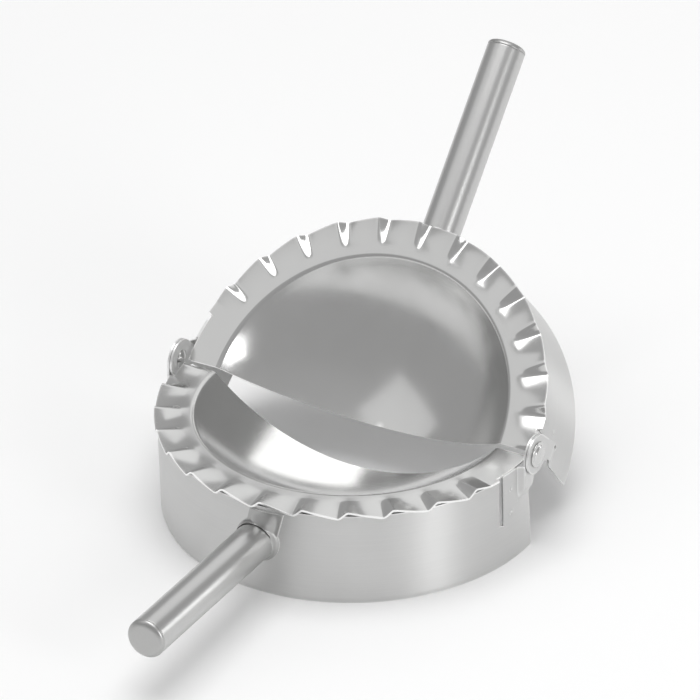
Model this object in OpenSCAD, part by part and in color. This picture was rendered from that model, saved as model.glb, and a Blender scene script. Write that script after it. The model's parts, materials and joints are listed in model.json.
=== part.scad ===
// Folding crimping press: two pressed half dishes with a saw-toothed rim, each in its own
// half-round cutting skirt, riveted together at two pairs of ears.
// Millimetres. X runs along the hinge, the lower half lies towards -Y with its skirt on
// the table at Z = 0, and the other half is folded up from +Y.

/* [Rim] */
// Diameter over the toothed rim
rim_d = 150; // [130:1:180]
// Height of the rim's top face above the table
rim_h = 38.7; // [34:0.1:48]
// Teeth round each half rim, counted over a half turn
teeth = 14; // [10:1:18]
// Height of a tooth from root to crest
tooth_h = 2.8; // [1.6:0.1:3.4]
// Width of the toothed part of the rim
tooth_w = 10.5; // [8:0.5:12]
// Half of a tooth's steep flank, as a share of the tooth pitch
steep = 0.11; // [0.08:0.01:0.16]

/* [Dish] */
// Thickness of the dish sheet
dish_t = 0.7; // [0.5:0.1:1]
// Depth of the dish below the rim
dish_depth = 25; // [18:0.5:27]
// Radius where the dish turns over into the rim
turn_r = 3; // [2:0.5:5]
// Width of the flat band between the dish and the teeth
band_w = 3; // [2.5:0.5:4]
// Distance from the hinge line to the cut edge of each dish
dish_gap = 0.5; // [0.3:0.1:1]

/* [Skirt] */
// Thickness of the skirt sheet
skirt_t = 0.8; // [0.6:0.1:1.2]
// How far the rim stands out over the skirt
overhang = 1; // [0.6:0.1:2]
// Height of the bevelled cutting edge
bevel_h = 1.7; // [1:0.1:3]
// Thickness left at the bottom of the cutting edge
edge_t = 0.35; // [0.2:0.05:0.5]
// Clearance between the skirt's top edge and the rim
seat_gap = 0.3; // [0.2:0.05:0.5]
// Gap between the skirt and the hinge line at the table
end_gap = 0.3; // [0.2:0.1:1]
// How much further the skirt's end is set back beside the ears
end_slant = 1.3; // [0:0.1:3]
// Depth of the slits that free the ear tabs, below the rim
slit_depth = 20.5; // [16:0.5:24]
// Width of the slit beside the inner ear
wide_slit_w = 2.1; // [1:0.1:3]
// Distance of that slit from the hinge line
wide_slit_y = 18.6; // [16:0.1:24]
// Width of the slit beside the outer ear
thin_slit_w = 0.8; // [0.5:0.1:1.5]
// Radius of the round end of the thin slit
slit_end_r = 1; // [0.6:0.1:1.5]

/* [Hinge] */
// Height of the hinge axis above the rim's top face
hinge_rise = 1.45; // [1.2:0.05:3]
// Fold between the two halves, 0 when they lie flat
fold = 42; // [20:1:60]
// Radius of the round ears
ear_r = 7.6; // [6.5:0.1:8.5]
// Radius of the fillet under each ear
ear_fillet = 4; // [2.5:0.5:5]
// Width of the bend that carries the inner ear outwards
joggle_w = 1.8; // [1.4:0.1:3]
// Height over which the inner ear's strip bends outwards
bend_drop = 5; // [3:0.5:8]
// Clearance between the rim's edge and the inner ear
ear_clear = 0.1; // [0.1:0.1:0.6]
// Gap between the inner and the outer ear
ear_gap = 0.2; // [0.1:0.05:0.4]
// Diameter of the rivet's shank
rivet_d = 4; // [3:0.1:5]
// Running clearance round the shank
rivet_fit = 0.05; // [0.02:0.01:0.1]
// End play of the rivet, shared between its two heads
rivet_play = 0.1; // [0.05:0.05:0.3]
// Diameter of the rivet's outer head
head_d = 10; // [8:0.1:11]
// Height of the rivet's outer head
head_h = 1.8; // [1.2:0.1:2.5]
// Diameter of the peened inner head
peen_d = 7; // [6:0.1:8]
// Height of the peened inner head
peen_h = 0.9; // [0.6:0.1:1]

/* [Handles] */
// Outer diameter of the handle tubes
handle_d = 15; // [11:0.5:16]
// Wall of the handle tubes
handle_t = 1; // [0.8:0.1:1.5]
// Length of each handle from the skirt to its end
handle_len = 81; // [60:0.5:100]
// Height of the handle's axis where it leaves the skirt
handle_h = 23.2; // [19:0.1:24]
// Upward slope of the handles in degrees
handle_rise = 2.1; // [0:0.1:5]
// Length of the end cap outside the tube
cap_len = 2.2; // [2:0.1:6]
// Radius of the end cap's rounded edge
cap_edge = 1.7; // [0.5:0.1:1.9]
// Length of the end cap's spigot inside the tube
spigot_len = 7; // [4:0.5:12]

/* [Handle necks] */
// Radius of the rounded rib above the handle
rib_r = 6.8; // [5.5:0.1:7.5]
// How far the rib stands out from the skirt
rib_proud = 3; // [2:0.1:3.6]
// Sideways lean of the neck about the handle's axis
neck_lean = 15; // [0:1:18]
// Sideways shift of the rib from the handle's axis
rib_shift = 0.8; // [0:0.1:1.5]
// Width of the weld lip along each side of the rib
lip_w = 1.6; // [1:0.1:3]
// Thickness of the neck's sheet
neck_t = 0.8; // [0.6:0.1:1]
// Radial width of the collar's foot round the handle
collar_w = 1.8; // [1.5:0.1:3]
// Length of the collar along the handle
collar_len = 3; // [2:0.1:4]

/* [Hidden] */
$fn = 64;

// Length that reaches past everything, for cutting shapes
far = 300;
// Small overlap that makes two shapes one solid
bite = 0.1;

// Radii of the rim, skirt and toothed band
rim_r = rim_d / 2;
skirt_r = rim_r - overhang;
skirt_in_r = skirt_r - skirt_t;
tooth_in_r = rim_r - tooth_w;
// Edge of the plain rim that lies inside the skirt beside the ears
plain_r = skirt_in_r - 0.1;
hinge_z = rim_h + hinge_rise;

// The dish is a spherical cap that meets the rim in a rounded turn
turn_x = tooth_in_r - band_w;
ball_sum = (turn_x * turn_x + dish_depth * dish_depth) / (2 * dish_depth);
ball_r = ball_sum - turn_r;
ball_z = rim_h - dish_depth + ball_r;
turn_z = rim_h - turn_r;

// Angles are measured round the rim from the handle, positive towards +X
pitch = 180 / teeth;
thin_slit_y = ear_r + 1 + thin_slit_w / 2;
wide_slit_at = 90 - asin(wide_slit_y / skirt_r);
tooth_end = 90 - asin((wide_slit_y + wide_slit_w / 2 + 0.4) / rim_r);
tooth_start = -(90 - asin((thin_slit_y + thin_slit_w / 2 + 0.1) / rim_r));
plain_from = (teeth / 2 - 1.5) * pitch;

// The skirt's top edge follows the roots of the teeth
skirt_top = rim_h - dish_t - seat_gap;
skirt_amp = tooth_h / 2 * (skirt_r - tooth_in_r) / tooth_w;
slit_z = rim_h - slit_depth;

// The ears lie outside the rim, the inner one first
inner_ear_x = rim_r + ear_clear;
outer_ear_x = inner_ear_x + skirt_t + ear_gap;
ear_side = end_gap + end_slant;
ear_drop = sqrt(pow(ear_r + ear_fillet, 2) - pow(ear_fillet - ear_side, 2));
ear_z = hinge_z - ear_drop;
bend_z = ear_z - bend_drop;
rivet_grip = outer_ear_x + skirt_t + rivet_play - inner_ear_x;
rivet_x = inner_ear_x - rivet_play / 2;

// Radii and length of the handle tubes
handle_r = handle_d / 2;
bore_r = handle_r - handle_t;
tube_len = handle_len - cap_len;

// Top of the neck under the rim, and the rib's half width where it meets the lip
neck_top = rim_h - dish_t - tooth_h / 2 - 0.3;
rib_foot = sqrt(rib_r * rib_r - pow(rib_r - rib_proud + neck_t, 2));

// Ends of both handles, which set the part's origin
end_y = skirt_r + (handle_len - cap_edge) * cos(handle_rise);
end_z = handle_h + (handle_len - cap_edge) * sin(handle_rise);
front_reach = end_y + (handle_r - cap_edge) * sin(handle_rise) + cap_edge;
back_reach = end_y * cos(fold) - (end_z - hinge_z) * sin(fold)
    + (handle_r - cap_edge) * sin(fold + handle_rise) + cap_edge;
mid_y = (back_reach - front_reach) / 2;

// Height of a tooth profile at u, the share of a pitch past a steep flank's middle:
// up the steep flank, over a rounded crest, down the long flank to the next root
function wave(u) = lookup(u, [
    [0, 0], [steep * 0.7, 0.85], [steep, 1], [steep + 0.05, 0.93],
    [0.95 - steep, -0.93], [1 - steep, -1], [1 - steep * 0.7, -0.85], [1, 0]]);

// Rise of the rim's outer edge at an angle, level after the last tooth
function lift(a) =
    let (u = a / pitch)
    a < plain_from ? tooth_h / 2 * wave(u - floor(u)) : 0;

// Angles at which the toothed rim has a fold line
tooth_steps = [steep * 0.7, steep, steep + 0.05, 0.95 - steep, 1 - steep, 1 - steep * 0.7];
tooth_angles = [
    for (k = [-teeth / 2 : teeth / 2], s = tooth_steps)
        if ((k + s) * pitch > tooth_start + 0.5 && (k + s) * pitch < plain_from - 0.5)
            (k + s) * pitch];
step_a = 0.1;
// Every station round the rim: its angle and its outer radius
stations = concat(
    [[-90, plain_r], [-86, plain_r], [tooth_start - step_a, plain_r], [tooth_start, rim_r]],
    [for (a = tooth_angles) [a, rim_r]],
    [[plain_from, rim_r], [tooth_end, rim_r], [tooth_end + step_a, plain_r], [80, plain_r], [85, plain_r],
     [90, plain_r]]);

function on_rim(a, r, z) = [r * sin(a), -r * cos(a), z];

// One section through the rim, from the buried inner edge out along the top and back
function rim_section(s) =
    let (a = s[0], r = s[1], h = lift(a) * (r - tooth_in_r) / tooth_w)
    [on_rim(a, tooth_in_r - 2, rim_h - bite),
     on_rim(a, tooth_in_r, rim_h),
     on_rim(a, r, rim_h + h),
     on_rim(a, r, rim_h + h - dish_t),
     on_rim(a, tooth_in_r, rim_h - dish_t),
     on_rim(a, tooth_in_r - 2, rim_h - dish_t + bite)];

module toothed_rim() {
    n = len(stations);
    points = [for (s = stations) each rim_section(s)];
    sides = [
        for (i = [0 : n - 2], j = [0 : 5])
            let (a = i * 6 + j, b = i * 6 + (j + 1) % 6, c = a + 6, d = b + 6)
            each [[a, c, b], [b, c, d]]];
    first = [for (j = [0 : 5]) j];
    last = [for (j = [5 : -1 : 0]) (n - 1) * 6 + j];
    polyhedron(points, concat(sides, [first, last]), convexity = 10);
}

// Half section of the dish, its turned edge and the flat start of the rim
module dish_section() {
    tilt = [turn_x, dish_depth - ball_sum] / ball_sum;
    translate([turn_x, rim_h - dish_t])
        square([band_w - 0.5, dish_t]);
    intersection() {
        translate([turn_x, turn_z])
            difference() {
                circle(turn_r);
                circle(turn_r - dish_t);
            }
        polygon([[turn_x, turn_z], [turn_x, turn_z + 2 * turn_r],
                 [turn_x - 2 * turn_r * tilt[0], turn_z - 2 * turn_r * tilt[1]]]);
    }
    intersection() {
        translate([0, ball_z])
            difference() {
                circle(ball_r + dish_t);
                circle(ball_r);
            }
        polygon([[0, ball_z], [0, ball_z - 2 * ball_r],
                 [2 * ball_r * tilt[0], ball_z + 2 * ball_r * tilt[1]]]);
    }
}

// A ring sector between two angles from a section drawn in radius and height
module sector(from, to) {
    rotate([0, 0, from - 90])
        rotate_extrude(angle = to - from, $fn = 128)
            children();
}

// Tab that turns down inside the skirt, where the two are spot welded
module weld_tab(from, to) {
    sector(from, to)
        translate([plain_r - 0.05 - dish_t, slit_z + 1])
            square([dish_t, slit_depth - 1 - dish_t / 2]);
}

module half_dish() {
    color("gainsboro") {
        intersection() {
            union() {
                sector(-90, 90) dish_section();
                toothed_rim();
            }
            translate([-far / 2, -dish_gap - far, 0])
                cube([far, far, far]);
        }
        weld_tab(wide_slit_at + 1.8, 83);
        weld_tab(-82, -76);
    }
}

// A flat shape drawn in Y and Z, cut right through the skirt's wall on the +X side
module side_cut() {
    translate([rim_r / 2, 0, 0])
        rotate([90, 0, 90])
            linear_extrude(height = rim_r)
                children();
}

// Wedge cut from the skirt's top edge so that it clears one tooth root
module root_notch(k) {
    low_a = (k + 1 - steep) * pitch;
    long_side = skirt_r * sin((0.5 - steep) * pitch);
    short_side = skirt_r * sin(steep * pitch);
    rotate([0, 0, low_a])
        translate([0, -skirt_r + 2 * skirt_t, skirt_top - skirt_amp])
            rotate([90, 0, 0])
                linear_extrude(height = 4 * skirt_t)
                    polygon([[0.3 * short_side, 0], [1.7 * short_side, 2 * skirt_amp],
                             [-1.9 * long_side, 2 * skirt_amp], [-0.1 * long_side, 0]]);
}

// Outline of an ear in Y and height above the hinge axis
module ear_outline(foot_w) {
    circle(ear_r);
    difference() {
        polygon([[-ear_r, 0], [-foot_w, -ear_drop], [ear_fillet - ear_side, -ear_drop],
                 [ear_r * (ear_fillet - ear_side) / (ear_r + ear_fillet),
                  -ear_r * ear_drop / (ear_r + ear_fillet)], [0, 0]]);
        translate([ear_fillet - ear_side, -ear_drop])
            circle(ear_fillet);
    }
}

module ear_plate(x, foot_w) {
    translate([x, 0, hinge_z])
        rotate([90, 0, 90])
            linear_extrude(height = skirt_t)
                ear_outline(foot_w);
}

// Bend that carries the inner ear out from the skirt's wall
module joggle() {
    wall_y = ear_r + joggle_w;
    wall_x = sqrt(skirt_r * skirt_r - wall_y * wall_y);
    translate([0, 0, ear_z])
        linear_extrude(height = rim_h - ear_z)
            polygon([[wall_x - skirt_t + 0.05, -wall_y - 0.4], [wall_x - 0.1, -wall_y - 0.4],
                     [wall_x - 0.05, -wall_y], [inner_ear_x + skirt_t - 0.03, -ear_r],
                     [inner_ear_x + skirt_t - 0.03, -ear_r + 0.3],
                     [inner_ear_x + 0.03, -ear_r + 0.3], [inner_ear_x + 0.03, -ear_r],
                     [wall_x - skirt_t + 0.05, -wall_y]]);
}

// Slanted strip that carries an ear up and out from the skirt's wall
module ear_strip(x, foot_y, low_z) {
    mid_a = asin((foot_y + ear_side) / 2 / skirt_r);
    strip_w = foot_y - ear_side;
    hull() {
        rotate([0, 0, -mid_a])
            translate([skirt_r - skirt_t + 0.03, -strip_w / 2, low_z - 0.5])
                cube([skirt_t - 0.06, strip_w, bite]);
        translate([x + 0.02, -foot_y, ear_z])
            cube([skirt_t - 0.04, strip_w, bite]);
    }
}

// Shallow round mark that a spot weld leaves on the outside
module weld_mark(a, z) {
    rotate([0, 0, a])
        translate([0, -skirt_r + 0.12, z])
            rotate([90, 0, 0])
                cylinder(r = 1.2, h = 1);
}

module skirt_wall() {
    sector(-90, 90)
        polygon([[skirt_in_r, 0], [skirt_in_r + edge_t, 0], [skirt_r, bevel_h],
                 [skirt_r, rim_h], [skirt_in_r, rim_h]]);
}

module half_skirt() {
    wide_half = wide_slit_w / 2;
    thin_half = thin_slit_w / 2;
    color("lightgray")
        difference() {
            union() {
                difference() {
                    skirt_wall();
                    // top edge under the toothed rim, with a wedge at every tooth root
                    sector(-95, wide_slit_at + 0.5)
                        translate([skirt_in_r - 1, skirt_top])
                            square([skirt_t + 2, far]);
                    for (k = [-teeth / 2 : teeth / 2 - 3])
                        root_notch(k);
                    // slit and open end beside the inner ear
                    side_cut()
                        polygon([[-wide_slit_y - wide_half, slit_z],
                                 [-wide_slit_y + wide_half, slit_z - 0.8],
                                 [-wide_slit_y + wide_half, far],
                                 [-wide_slit_y - wide_half, far]]);
                    side_cut()
                        polygon([[far, -1], [-end_gap, -1], [-end_gap, 0],
                                 [-ear_side, bend_z], [-ear_r - 0.1, bend_z],
                                 [-ear_r - 0.1, ear_z - 0.15], [-ear_r - joggle_w, ear_z - 0.15],
                                 [-ear_r - joggle_w, far], [far, far]]);
                    // slit and open end beside the outer ear
                    mirror([1, 0, 0])
                        side_cut() {
                            polygon([[far, -1], [-end_gap, -1], [-end_gap, 0],
                                     [-ear_side, slit_z + 1], [-thin_slit_y, slit_z + 1],
                                     [-thin_slit_y - thin_half, slit_z + 1],
                                     [-thin_slit_y - thin_half, far], [far, far]]);
                            translate([-thin_slit_y, slit_z + 1])
                                circle(slit_end_r);
                        }
                }
                joggle();
                ear_strip(inner_ear_x, ear_r, bend_z);
                ear_plate(inner_ear_x, ear_r);
                mirror([1, 0, 0]) {
                    ear_strip(outer_ear_x, ear_r + 1, slit_z + 1);
                    ear_plate(outer_ear_x, ear_r + 1);
                }
            }
            // rivet holes through both ears
            translate([-far / 2, 0, hinge_z])
                rotate([0, 90, 0])
                    cylinder(d = rivet_d + 2 * rivet_fit, h = far);
            weld_mark(79.6, slit_z + 13);
            weld_mark(79.6, slit_z + 3.2);
            weld_mark(-79.6, slit_z + 5.5);
        }
}

// Puts children on the handle's axis at the skirt, +Z pointing out along the handle
module on_handle() {
    translate([0, -skirt_r, handle_h])
        rotate([90 - handle_rise, 0, 0])
            children();
}

module skirt_space(clear) {
    cylinder(r = skirt_r + clear, h = far, center = true, $fn = 128);
}

// Upright rounded rib from the handle to the rim, leaning about the handle's axis
module rib(r, proud) {
    intersection() {
        translate([0, 0, handle_h])
            rotate([0, neck_lean, 0])
                translate([rib_shift, -skirt_r - proud + r, 0])
                    cylinder(r = r, h = far);
        translate([-far / 2, -far, 0])
            cube([far, far, neck_top - (rib_r - r)]);
    }
}

// Outline of the neck's weld lip, seen along the handle
module lip_outline() {
    circle(handle_r + collar_w);
    rotate(-neck_lean)
        translate([rib_shift - rib_foot - lip_w, 0])
            square([2 * (rib_foot + lip_w), far]);
}

module neck() {
    color("silver")
        difference() {
            union() {
                // lip against the skirt
                intersection() {
                    translate([0, 0, handle_h])
                        rotate([90, 0, 0])
                            linear_extrude(height = far)
                                lip_outline();
                    cylinder(r = skirt_r + neck_t, h = neck_top, $fn = 128);
                }
                rib(rib_r, rib_proud);
                // collar round the handle
                on_handle()
                    translate([0, 0, -1])
                        cylinder(r1 = handle_r + collar_w, r2 = handle_r + neck_t,
                                 h = collar_len + 1);
            }
            skirt_space(0.04);
            // hollow behind the rib
            difference() {
                rib(rib_r - neck_t, rib_proud - neck_t);
                on_handle()
                    cylinder(r = handle_r + neck_t, h = far, center = true);
            }
            on_handle()
                cylinder(r = handle_r + 0.02, h = far, center = true);
        }
}

module handle_tube() {
    color("silver")
        difference() {
            on_handle()
                translate([0, 0, -collar_len])
                    difference() {
                        cylinder(r = handle_r, h = tube_len + collar_len);
                        translate([0, 0, -1])
                            cylinder(r = bore_r, h = far);
                    }
            skirt_space(0.02);
        }
}

// Plug with a rounded edge that closes the end of the handle
module end_cap() {
    color("lightgray")
        on_handle()
            translate([0, 0, tube_len])
                rotate_extrude() {
                    square([handle_r, cap_len - cap_edge]);
                    square([handle_r - cap_edge, cap_len]);
                    intersection() {
                        translate([handle_r - cap_edge, cap_len - cap_edge])
                            circle(cap_edge);
                        square([handle_r, cap_len]);
                    }
                    translate([0, -spigot_len])
                        square([bore_r - 0.02, spigot_len + bite]);
                }
}

// Half section of a domed head of radius a and height h, standing on Y = 0
module dome_section(a, h) {
    dome_r = (a * a + h * h) / (2 * h);
    intersection() {
        translate([0, h - dome_r])
            circle(dome_r);
        square([a, h]);
    }
}

// Rivet on the +X side: shank, domed outer head and peened inner head
module rivet() {
    color("whitesmoke")
        translate([rivet_x, 0, hinge_z])
            rotate([0, 90, 0])
                rotate_extrude() {
                    translate([0, -bite])
                        square([rivet_d / 2, rivet_grip + 2 * bite]);
                    translate([0, rivet_grip]) {
                        square([head_d / 2, head_h / 3]);
                        translate([0, head_h / 3])
                            dome_section(head_d / 2, head_h * 2 / 3);
                    }
                    mirror([0, 1])
                        dome_section(peen_d / 2, peen_h);
                }
}

// Moves the model so that its origin is under the middle of its overall box
module placed() {
    translate([0, -mid_y, 0])
        children();
}

// The second half is the first one turned half round and folded up about the hinge
module folded() {
    placed()
        translate([0, 0, hinge_z])
            rotate([fold, 0, 0])
                translate([0, 0, -hinge_z])
                    rotate([0, 0, 180])
                        children();
}

module front_dish() { placed() half_dish(); }
module front_skirt() { placed() half_skirt(); }
module front_neck() { placed() neck(); }
module front_handle_tube() { placed() handle_tube(); }
module front_end_cap() { placed() end_cap(); }
module back_dish() { folded() half_dish(); }
module back_skirt() { folded() half_skirt(); }
module back_neck() { folded() neck(); }
module back_handle_tube() { folded() handle_tube(); }
module back_end_cap() { folded() end_cap(); }
module left_rivet() { placed() mirror([1, 0, 0]) rivet(); }
module right_rivet() { placed() rivet(); }

front_dish();
front_skirt();
front_neck();
front_handle_tube();
front_end_cap();
back_dish();
back_skirt();
back_neck();
back_handle_tube();
back_end_cap();
left_rivet();
right_rivet();
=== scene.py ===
"""Folding crimping press in stainless steel, built round its packed CAD frame.

Each piece is worked out in the flat half frame, in millimetres: X along the hinge, the
table at Z = 0, the hinge line at Y = 0 and the handle pointing towards -Y. One placing
function then stands it on the table as the front half, or turns it half round and folds
it up about the hinge as the back half.
"""
import json
import math

import bmesh
import bpy
import numpy as np
from mathutils import Matrix, Vector


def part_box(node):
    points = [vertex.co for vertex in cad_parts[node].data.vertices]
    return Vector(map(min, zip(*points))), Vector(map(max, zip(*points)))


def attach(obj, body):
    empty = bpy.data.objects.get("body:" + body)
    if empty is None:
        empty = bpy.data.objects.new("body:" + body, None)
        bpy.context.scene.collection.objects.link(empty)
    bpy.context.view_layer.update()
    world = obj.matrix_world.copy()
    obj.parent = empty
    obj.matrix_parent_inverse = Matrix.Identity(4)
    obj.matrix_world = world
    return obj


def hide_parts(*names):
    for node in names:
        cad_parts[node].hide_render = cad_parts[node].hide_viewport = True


bl_info = {
    "name": "Crimping press",
    "version": (1, 0, 0),
    "blender": (4, 5, 0),
    "location": "3D View > Sidebar > Press",
    "description": "Builds the steel pieces, finishes and stage of a folding crimping press",
    "category": "Add Mesh",
}

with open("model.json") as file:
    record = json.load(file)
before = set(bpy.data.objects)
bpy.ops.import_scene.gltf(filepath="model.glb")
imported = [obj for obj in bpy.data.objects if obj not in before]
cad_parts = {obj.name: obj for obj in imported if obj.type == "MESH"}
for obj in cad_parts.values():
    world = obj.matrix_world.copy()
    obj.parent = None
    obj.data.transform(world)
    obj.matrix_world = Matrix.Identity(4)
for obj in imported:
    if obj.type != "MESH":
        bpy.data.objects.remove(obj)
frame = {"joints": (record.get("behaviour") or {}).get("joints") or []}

MM = 0.001
HALVES = ("front", "back")
HINGE_Y, HINGE_Z = (v / MM for v in frame["joints"][0]["pos_m"][1:])
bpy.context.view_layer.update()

# Names of the mesh attributes and the UV map, and the height of one step of the map.
PLACE_NAME = "flat_place"
HIGHLIGHT_EDGE_NAME = "cut_edge"
BRUSH_NAME = "brushing"
BRUSH_HEIGHT = 100.0

# Looks that every finish shares: the painted highlight on cut edges, both noises and the bump.
CUT_EDGE_HIGHLIGHT = (0.93, 0.93, 0.925, 1.0)
HIGHLIGHT_FADE = 1.6
NOISE_DETAIL = 3.0
LINE_MIX, SMUDGE_MIX = 0.6, 0.55
SMUDGE_SCALE = 45.0
SMUDGE_LOW, SMUDGE_HIGH = 0.3, 0.7
BUMP_STRENGTH = 0.6

# The angle in degrees past which an edge stays sharp, the distances at which points are
# merged and short edges dropped, and the least number that anything is divided by.
CREASE = 32.0
SAME_POINT = 1e-4
NO_LENGTH = 1e-5
TINY = 1e-6

# Places and heights of a tooth's rounded corners: the first is on the steep flank, as a
# share of it, and the second on the long one, in pitches past the crest.
KNEE, KNEE_RISE = 0.7, 0.85
SHOULDER, SHOULDER_RISE = 0.05, 0.93

# Spot welds: angle round the skirt and height above the slits' lower ends. The place and
# rise of their raised ring are shares of the mark's radius and depth.
WELD_MARKS = ((79.6, 13.0), (79.6, 3.2), (-79.6, 5.5))
WELD_RING_PLACE, WELD_RING_RISE, WELD_RING_WIDTH = 1.15, 0.35, 0.35

# How far an ear's strip starts below its bend, how far the bend goes on above the ear's
# foot, and how deep the faces of strips lie inside the wall's.
STRIP_LAP = 0.6
BEND_OVER = 0.6
EAR_TUCK = 0.01
JOGGLE_TUCK = 0.015

# The bend beside the inner ear: its lap on both sides, and the S curve's start and span
# as shares of its width.
JOGGLE_LAP = 0.5
JOGGLE_START, JOGGLE_SPAN = 0.12, 0.7

# Sides of the round pieces, the tube's reach behind the skirt's surface, the welds' gaps
# and the cap's spigot.
HANDLE_SIDES, RIVET_SIDES = 128, 72
TUBE_SUNK = 0.35
TUBE_GAP, NECK_GAP = 0.02, 0.04
SPIGOT, SPIGOT_GAP = 7.0, 0.02

# The neck's grid and sections by the distance from the tube. The groove is a share of
# the neck's height, and BLEND rounds the corners between its shapes.
NECK_STEPS = (0.02, 0.08, 0.15, 0.22, 0.3, 0.38, 0.46, 0.54, 0.62, 0.7, 0.78, 0.86, 0.94, 1.02)
SOCKET_STEPS = (0.42, 0.52, 0.62, 0.72, 0.82, 1.0)
FLARE_STEPS = (0.02, 0.2, 0.45, 0.7, 0.95, 1.2)
GROOVE_STEPS, GROOVE_SHARES = (0.02, 0.12, 0.22, 0.32, 0.42), (0.4, 0.5, 0.8, 0.95, 1.0)
LIP_ROUND, BLEND, RIB_SINK = 0.35, 0.25, 6.0

# Angles round the neck from its top in radians: where the collar is slim, where the
# socket lies over the tube, and how wide both changes are.
SLIM_FROM, SLIM_TO, SLIM_FADE = 0.6, -2.6, 0.8
OVER_MIDDLE, OVER_HALF, OVER_FADE = -0.25, 1.5, 0.5

# The rivet head's corners, and its shallow ring as shares of the head's radius.
RIVET_EDGE, RIVET_CORNER = 0.12, 0.1
RIVET_RING, RIVET_RING_WIDTH = 0.78, 0.09

# The floor's half width in metres, the heights between which the room's light changes,
# and the lamps with their places, sizes and watts.
FLOOR_REACH, FLOOR_ROUGH = 6.0, 0.9
SKY_LOW, SKY_HIGH = 0.5, 0.72
LAMP_AIM = (0.0, 0.0, 0.04)
LAMPS = (
    ("side light", (1.52, -0.50, 0.55), 0.5, 0.66, 5.6),
    ("back light", (1.05, 1.2, 0.26), 0.5, 0.4, 1.5),
    ("rear light", (-0.24, 1.34, 1.18), 1.2, 0.7, 1.6),
    ("left light", (-0.99, -0.80, 1.27), 1.2, 0.9, 1.3),
    ("top light", (0.0, 0.0, 2.0), 1.5, 1.5, 19.0),
)


def length(name, default, description, high=200.0, low=0.0):
    """A length property that a user sees in metres, with its default in millimetres."""
    return bpy.props.FloatProperty(
        name=name, description=description, default=default * MM, min=low * MM,
        soft_max=high * MM, precision=5, subtype="DISTANCE", unit="LENGTH")


def angle(name, default, description):
    """An angle property with its default in degrees."""
    return bpy.props.FloatProperty(
        name=name, description=description, default=math.radians(default),
        subtype="ANGLE", unit="ROTATION")


def share(name, default, description=""):
    """A plain number from 0 to 1."""
    return bpy.props.FloatProperty(
        name=name, description=description, default=default, min=0.0, max=1.0,
        subtype="FACTOR")


def colour(name, default, description):
    """A linear colour."""
    return bpy.props.FloatVectorProperty(
        name=name, description=description, default=default, size=3, min=0.0, max=1.0,
        subtype="COLOR")


class PRESS_PG_dish(bpy.types.PropertyGroup):
    """Sizes of the pressed half dish and its toothed rim."""

    rim_radius: length("Rim radius", 75.0, "Outer radius of the toothed rim")
    rim_height: length("Rim height", 38.7, "Height of the rim's top face")
    sheet: length("Sheet", 0.7, "Thickness of the dish sheet")
    depth: length("Depth", 25.0, "Depth of the dish below the rim")
    turn_radius: length("Turn radius", 3.0, "Radius where the dish turns into the rim")
    band: length("Band", 3.0, "Flat band between the dish and the teeth")
    tooth_width: length("Tooth width", 10.5, "Radial width of the toothed band")
    tooth_height: length("Tooth height", 2.8, "Height of a tooth from root to crest")
    teeth: bpy.props.IntProperty(
        name="Teeth", description="Teeth round a half turn", default=14, min=8, max=20)
    steep: share("Steep flank", 0.11, "Half of the steep flank, in pitches")
    soften: share("Softening", 0.07, "Width of the rounding of crests, in pitches")
    plain_radius: length("Plain radius", 73.1, "Radius of the rim's plain ends")
    tooth_start: angle("First tooth", -82.65, "Angle where the toothed band starts")
    tooth_end: angle("Last tooth", 74.45, "Angle where the toothed band ends")
    gap: length("Gap", 0.5, "Distance from the hinge line to the cut edge")
    tab_seat: length("Tab seat", 0.05, "Distance of the weld tabs inside the plain edge")
    tab_foot: length("Tab foot", 19.2, "Height of the weld tabs' lower edges")
    right_tab: angle("Right tab", 77.24, "Angle where the right weld tab starts")
    right_tab_end: angle("Right tab end", 83.0, "Angle where the right weld tab ends")
    left_tab: angle("Left tab", -82.0, "Angle where the left weld tab starts")
    left_tab_end: angle("Left tab end", -76.0, "Angle where the left weld tab ends")


class PRESS_PG_skirt(bpy.types.PropertyGroup):
    """Sizes of the half-round skirt and its ears."""

    radius: length("Radius", 74.0, "Outer radius of the skirt")
    sheet: length("Sheet", 0.8, "Thickness of the skirt sheet")
    bevel: length("Bevel", 1.7, "Height of the bevelled cutting edge")
    edge: length("Edge", 0.35, "Thickness left at the cutting edge")
    seat: length("Seat", 0.3, "Clearance between the skirt's top and the rim")
    end_low: length("End at the table", 0.3, "Gap to the hinge line at the table")
    end_high: length("End at the ears", 1.6, "Gap to the hinge line beside the ears")
    slit_foot: length("Slit foot", 18.2, "Height of the slits' lower ends")
    wide_slit: length("Wide slit", 2.1, "Width of the slit beside the inner ear")
    wide_slit_y: length("Wide slit place", 18.6, "Its distance from the hinge line")
    thin_slit: length("Thin slit", 0.8, "Width of the slit beside the outer ear")
    thin_slit_y: length("Thin slit place", 9.0, "Its distance from the hinge line")
    slit_end: length("Slit end", 1.0, "Radius of the round end of the thin slit")
    slit_slope: length("Slit slope", 0.8, "Fall of the wide slit's lower end")
    ear_radius: length("Ear radius", 7.6, "Radius of the round ears")
    ear_fillet: length("Ear fillet", 4.0, "Radius of the fillet under each ear")
    joggle: length("Joggle", 1.8, "Width of the bend beside the inner ear")
    bend_drop: length("Bend drop", 5.0, "Height over which the inner ear's strip bends")
    inner_ear: length("Inner ear", 75.1, "Distance of the inner ear's near face")
    outer_ear: length("Outer ear", 76.1, "Distance of the outer ear's near face")
    weld_radius: length("Weld mark", 1.0, "Radius of a spot weld's mark")
    weld_depth: length("Weld depth", 0.36, "Depth of a spot weld's mark")


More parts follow.
